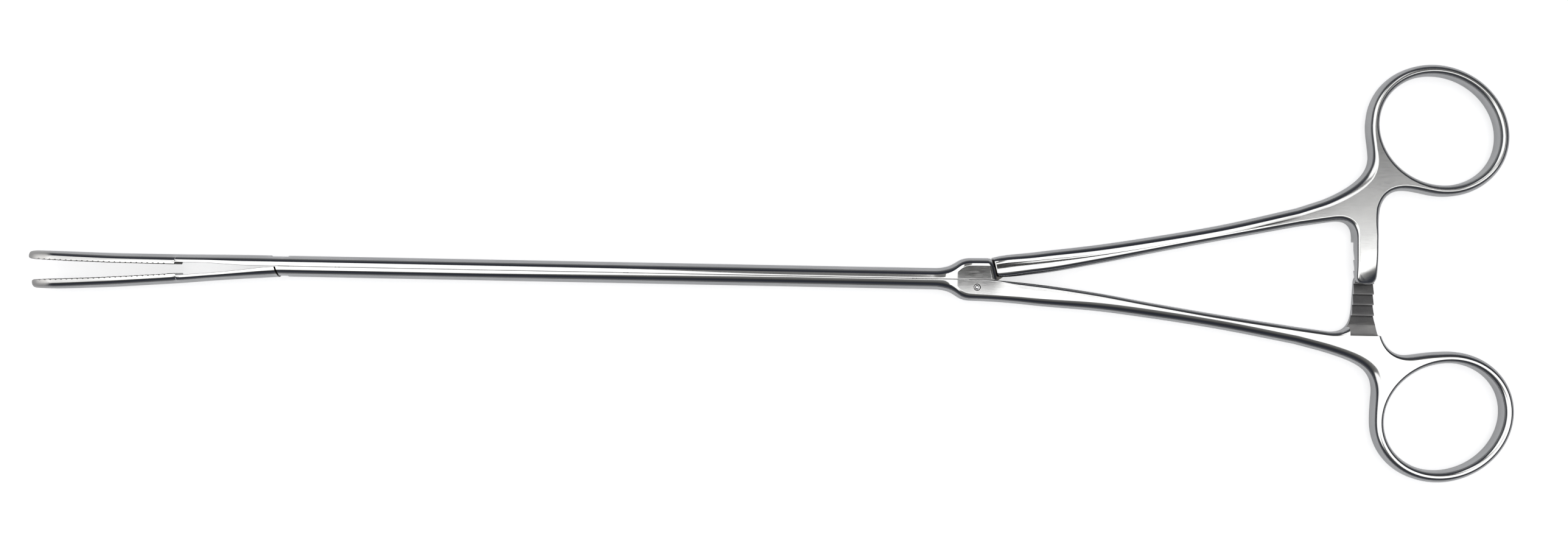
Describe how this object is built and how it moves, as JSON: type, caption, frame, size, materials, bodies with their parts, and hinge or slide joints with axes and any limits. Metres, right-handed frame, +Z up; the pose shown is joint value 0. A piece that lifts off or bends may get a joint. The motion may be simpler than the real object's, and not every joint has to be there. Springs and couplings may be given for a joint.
{
  "type": "long ratchet forceps",
  "caption": "Long ring-handled steel forceps: a double half-round sliding shaft opens one slim serrated jaw, and a ratchet between the handles holds the grip.",
  "frame": {"origin": "middle of the footprint, on the surface the tool lies on", "axes": "+X from the jaw tips to the finger rings, +Y towards the moving handle, +Z up out of the surface"},
  "size_m": [0.3394, 0.0952, 0.0054],
  "materials": {
    "body_steel": "satin",
    "pin_steel": "satin"
  },
  "bodies": {
    "fixed_handle": {"lower_handle": "body_steel", "handle_pivot_pin": "pin_steel", "jaw_link_pin": "pin_steel", "guide_stud_front": "pin_steel", "guide_stud_middle": "pin_steel", "guide_stud_rear": "pin_steel"},
    "moving_handle": {"upper_handle": "body_steel"},
    "sliding_shaft": {"upper_shaft": "body_steel", "drive_pin": "pin_steel", "jaw_pivot_pin": "pin_steel"},
    "moving_jaw": {"lower_jaw": "body_steel"}
  },
  "joints": [
    {"name": "handle_hinge", "type": "hinge", "parent": "fixed_handle", "child": "moving_handle", "pos_m": [0.04657, -0.00514, 0.0027], "axis": [0, 0, 1], "range_deg": [-3.4, 10]},
    {"name": "shaft_slide", "type": "slide", "parent": "fixed_handle", "child": "sliding_shaft", "axis": [1, 0, 0], "range_m": [-0.00056, 0.0002]},
    {"name": "jaw_hinge", "type": "hinge", "parent": "sliding_shaft", "child": "moving_jaw", "pos_m": [-0.11163, -0.00219, 0.0027], "axis": [0, 0, 1], "range_deg": [-4.5, 13.2]}
  ],
  "couplings": [
    {"joint": "shaft_slide", "follows": "handle_hinge", "m_per_rad": -0.00315},
    {"joint": "jaw_hinge", "follows": "handle_hinge", "ratio": 1.3125}
  ]
}
